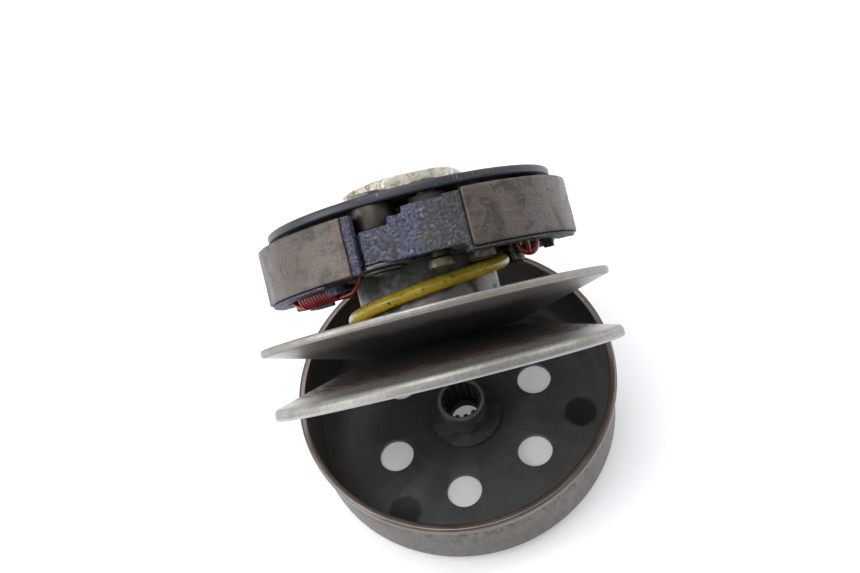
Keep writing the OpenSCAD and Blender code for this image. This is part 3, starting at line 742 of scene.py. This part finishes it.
# ---------------------------------------------------------------- the bell
def bell_drum():
    groove_top = BELL_H - BEAD_H
    inner_corner = CORNER_R - (BELL_WALL_R - BELL_BORE_R)
    outline = filleted([
        (HUB_HOLE_R, 0, 0), (BELL_WALL_R, 0, CORNER_R), (BELL_WALL_R, groove_top - 1.2, 0.25),
        (BELL_WALL_R - 0.6, groove_top - 0.85, 0.15), (BELL_WALL_R - 0.6, groove_top, 0.15),
        (BEAD_R, groove_top + 0.15, 0.7), (BEAD_R, BELL_H, 0.95), (BELL_BORE_R, BELL_H, 0.55),
        (BELL_BORE_R, BELL_FLOOR, inner_corner), (HUB_HOLE_R, BELL_FLOOR, 0)], steps=FILLET_STEPS)
    mesh = lathe("clutch_bell_drum", outline, TURNED_STEPS)
    obj = piece("clutch_bell_drum", mesh, "bell_drum", UPRIGHT)
    cutters = []
    for i in range(VENT_COUNT):
        centre = polar(VENT_RING_R, VENT_PHASE + i * 360 / VENT_COUNT)
        cutters.append(plug(centre, VENT_R, VENT_R, -OVERCUT, BELL_FLOOR + OVERCUT))
    for i in range(3):
        centre = polar(SPOT_RING_R, SPOT_PHASE + i * 120)
        cutters.append(plug(centre, SPOT_FLOOR_R, SPOT_MOUTH_R,
                            BELL_FLOOR - SPOT_DEPTH, BELL_FLOOR + SPOT_OVERCUT))
    cut(obj, cutters)
    modify(obj, "BEVEL", width=BELL_EDGE * MM, segments=2, limit_method="ANGLE",
           angle_limit=math.radians(BELL_EDGE_ANGLE))
    smooth_shade(obj.data, BELL_SMOOTH_ANGLE)
    return riding(obj, "bell_drum")


def plug(centre, r_low, r_high, low, high):
    """A cone or cylinder to cut with."""
    points = []
    sides = PLUG_SIDES
    for radius, height in ((r_low, low), (r_high, high)):
        points += [centre + polar(radius, 360 * i / sides, height) for i in range(sides)]
    faces = [(i, (i + 1) % sides, sides + (i + 1) % sides, sides + i) for i in range(sides)]
    faces += [tuple(reversed(range(sides))), tuple(range(sides, 2 * sides))]
    return mesh_from("plug", points, faces)


# ---------------------------------------------------------------- the sheaves and the parts on the hub
def sheaves():
    drop = (SHEAVE_R - FACE_HUB_R) * math.tan(GROOVE_ANGLE)
    fixed = filleted([
        (HUB_R, FIXED_FACE_H, 0.3), (FACE_HUB_R, FIXED_FACE_H, 1.5),
        (SHEAVE_R, FIXED_FACE_H - drop, 2.1), (SHEAVE_R, FIXED_RIM_H, 0.8),
        (FACE_HUB_R + 1.5, FIXED_FACE_H - FLAT_T, 2.0),
        (HUB_R, FIXED_FACE_H - FLAT_T, 0.2)], steps=FILLET_STEPS)
    mesh = lathe("fixed_sheave", fixed, TURNED_STEPS)
    riding(piece("fixed_sheave", mesh, "fixed_face"), "fixed_face")
    moving = filleted([
        (SLEEVE_R, MOVABLE_FACE_H, 0.3), (FACE_HUB_R, MOVABLE_FACE_H, 1.5),
        (SHEAVE_R, MOVABLE_FACE_H + drop, 0.95), (SHEAVE_R, MOVABLE_FACE_H + drop + PLATE_H, 0.8),
        (SLEEVE_FLANGE_R, MOVABLE_FACE_H + FLAT_T, 2.0),
        (SLEEVE_R, MOVABLE_FACE_H + FLAT_T, 0.2)], steps=FILLET_STEPS)
    mesh = lathe("moving_sheave", moving, TURNED_STEPS)
    riding(piece("moving_sheave", mesh, "movable_face"), "movable_face")


def spring_collar():
    outline = filleted([
        (COLLAR_BORE_R, COLLAR_H0, 0.2), (COLLAR_FLANGE_R, COLLAR_H0, 0.4),
        (COLLAR_FLANGE_R, COLLAR_H0 + COLLAR_T, 0.4), (COLLAR_R, COLLAR_H0 + COLLAR_T, 0.5),
        (COLLAR_R, COLLAR_TOP_H, 0.4), (COLLAR_BORE_R, COLLAR_TOP_H, 0.2)])
    mesh = lathe("spring_collar_turned", outline, COLLAR_STEPS)
    riding(piece("spring_collar_turned", mesh, "spring_collar"), "spring_collar")


def contra_height(turns, low, high):
    """Height of the contra spring's wire, closed at both ends and open between."""
    pitch = 2 * CONTRA_WIRE_R + CONTRA_TURN_GAP
    rise = CONTRA_CLOSED_TURNS * pitch
    total = 2 * CONTRA_CLOSED_TURNS + CONTRA_OPEN_TURNS
    if turns < CONTRA_CLOSED_TURNS:
        return low + turns * pitch
    if turns > CONTRA_CLOSED_TURNS + CONTRA_OPEN_TURNS:
        return high - (total - turns) * pitch
    share = (turns - CONTRA_CLOSED_TURNS) / CONTRA_OPEN_TURNS
    return low + rise + (high - low - 2 * rise) * share


def contra_spring():
    low = COLLAR_H0 + COLLAR_T + CONTRA_WIRE_R + CONTRA_END_GAP
    high = DRIVE_H - CONTRA_WIRE_R - CONTRA_END_GAP
    total = 2 * CONTRA_CLOSED_TURNS + CONTRA_OPEN_TURNS
    path = []
    for i in range(CONTRA_STEPS + 1):
        turns = total * i / CONTRA_STEPS
        near = [contra_height(min(max(turns + CONTRA_SOFT_TURN * k / 3, 0), total), low, high)
                for k in range(-3, 4)]
        path.append(polar(CONTRA_R, CONTRA_START + 360 * turns, sum(near) / len(near)))
    wire = swept("contra_spring_wire", path, CONTRA_WIRE_R, sides=20, round_end=0.35)
    obj = piece("contra_spring_wire", wire, "contra_spring")
    riding(obj, "contra_spring")
    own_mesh(obj)


def shoe_spring(k):
    """Extension spring from shoe k to the next shoe's heel."""
    start = polar(HOOK_RING_R, HOOK_ANGLE, SHOE_SPRING_H)
    end = polar(HEEL_RING_R, HEEL_ANGLE, SHOE_SPRING_H)
    along = (end - start).normalized()
    across = Vector((0, 0, 1)).cross(along)
    up = Vector((0, 0, 1))
    span = (end - start).length
    # hook: straight shank, then round to the bottom of the first coil
    hook = [(0, 5.4), (0, 3.4), (0, 1.6), (0.2, 0.5), (0.8, -0.4), (1.8, -1.15), (3.0, -1.9), (4.2, -2.6)]
    path = [start + along * x + up * z for x, z in hook]
    count = SHOE_COIL_TURNS * SHOE_SPRING_STEPS
    for i in range(count + 1):
        angle = math.tau * i / SHOE_SPRING_STEPS
        x = SHOE_COIL_START + (SHOE_COIL_END - SHOE_COIL_START) * i / count
        path.append(start + along * x + across * SHOE_COIL_R * math.sin(angle)
                    - up * SHOE_COIL_R * math.cos(angle))
    path += [start + along * (span - x) + up * z for x, z in reversed(hook)]
    spin = Matrix.Rotation(math.radians(FIRST_PIVOT + 120 * (k - 1)), 3, "Z")
    path = [spin @ p for p in path]
    name = f"shoe_spring_wire_{k}"
    node = f"shoe_spring_{k}"
    wire = swept(name, path, SHOE_WIRE_R, sides=12, round_end=0.4)
    obj = settle(piece(name, wire, node))
    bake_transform(obj)


bell_drum()
eased("clutch_bell_hub", "bell_hub", HUB_EDGE, UPRIGHT)
sheaves()
spring_collar()
contra_spring()
for shoe_number in (1, 2, 3):
    shoe_spring(shoe_number)
    cast(f"shoe_casting_{shoe_number}", f"shoe_{shoe_number}", SHOE_RIPPLE, SHOE_GRAIN)
    cast(f"friction_lining_{shoe_number}", f"lining_{shoe_number}", LINING_RIPPLE, LINING_GRAIN)
    eased(f"shoe_stud_end_{shoe_number}", f"shoe_stud_{shoe_number}", STUD_EDGE)
EASED = {
    "hub_tube": 0.35, "bearing_outer_ring": 0.2, "bearing_inner_ring": 0.2, "bearing_circlip": 0.12,
    "needle_shell": 0.15, "guide_pins": 0.2, "drive_plate": 0.25, "pivot_pins": 0.35,
    "pivot_spacers": 0.3, "pivot_washers": 0.2, "e_clips": 0.15, "damper_pins": 0.45,
    "damper_rubbers": 0.4, "clutch_nut": 0.35, "slotted_sleeve": 0.2, "oil_seals": 0.2,
    "needle_rollers": 0.12, "bearing_cage": 0.0, "needle_cage": 0.0, "bearing_balls": 0.0, "o_rings": 0.0,
}
for node_name, edge_width in EASED.items():
    eased(f"{node_name}_finished", node_name, edge_width)


# ---------------------------------------------------------------- floor, light and camera
def area_light(name, place, target, size, power):
    lamp = bpy.data.lights.new(name, "AREA")
    lamp.shape = "RECTANGLE"
    lamp.size, lamp.size_y = size
    lamp.energy = power
    obj = bpy.data.objects.new(name, lamp)
    bpy.context.scene.collection.objects.link(obj)
    obj.location = place
    obj.rotation_euler = (Vector(target) - Vector(place)).to_track_quat("-Z", "Y").to_euler()


def studio():
    bpy.ops.mesh.primitive_plane_add(size=40, location=(0, 0, 0))
    floor = bpy.context.object
    floor.name = "studio_floor"
    floor.data.materials.append(floor_white())
    world = bpy.data.worlds.new("studio")
    world.use_nodes = True
    world.node_tree.nodes["Background"].inputs[0].default_value = (0.93, 0.95, 1.0, 1)
    world.node_tree.nodes["Background"].inputs[1].default_value = 0.55
    bpy.context.scene.world = world
    aim = (0, 0, 0.05)
    area_light("overhead", (-0.15, 0.15, 0.95), aim, (0.9, 0.7), 7.0)
    area_light("left_box", (-0.85, -0.1, 0.45), aim, (0.7, 0.5), 4.0)
    area_light("right_box", (0.9, 0.25, 0.55), aim, (0.5, 0.5), 2.5)
    bpy.context.scene.view_settings.view_transform = "Standard"


def camera():
    """The photograph's viewpoint: above and in front of the bell, rolled to the left."""
    eye = Vector((0.0, -0.1946, 0.3709))
    target = Vector((0.0012, 0.0421, 0.0292))
    roll = math.radians(-16.6)
    data = bpy.data.cameras.new("camera")
    data.sensor_width = 36
    data.lens = 46.58
    data.clip_start = 0.01
    obj = bpy.data.objects.new("camera", data)
    bpy.context.scene.collection.objects.link(obj)
    look = (target - eye).to_track_quat("-Z", "Y").to_matrix()
    obj.matrix_world = Matrix.Translation(eye) @ (look @ Matrix.Rotation(roll, 3, "Z")).to_4x4()
    bpy.context.scene.camera = obj


studio()
camera()

bpy.context.view_layer.update()
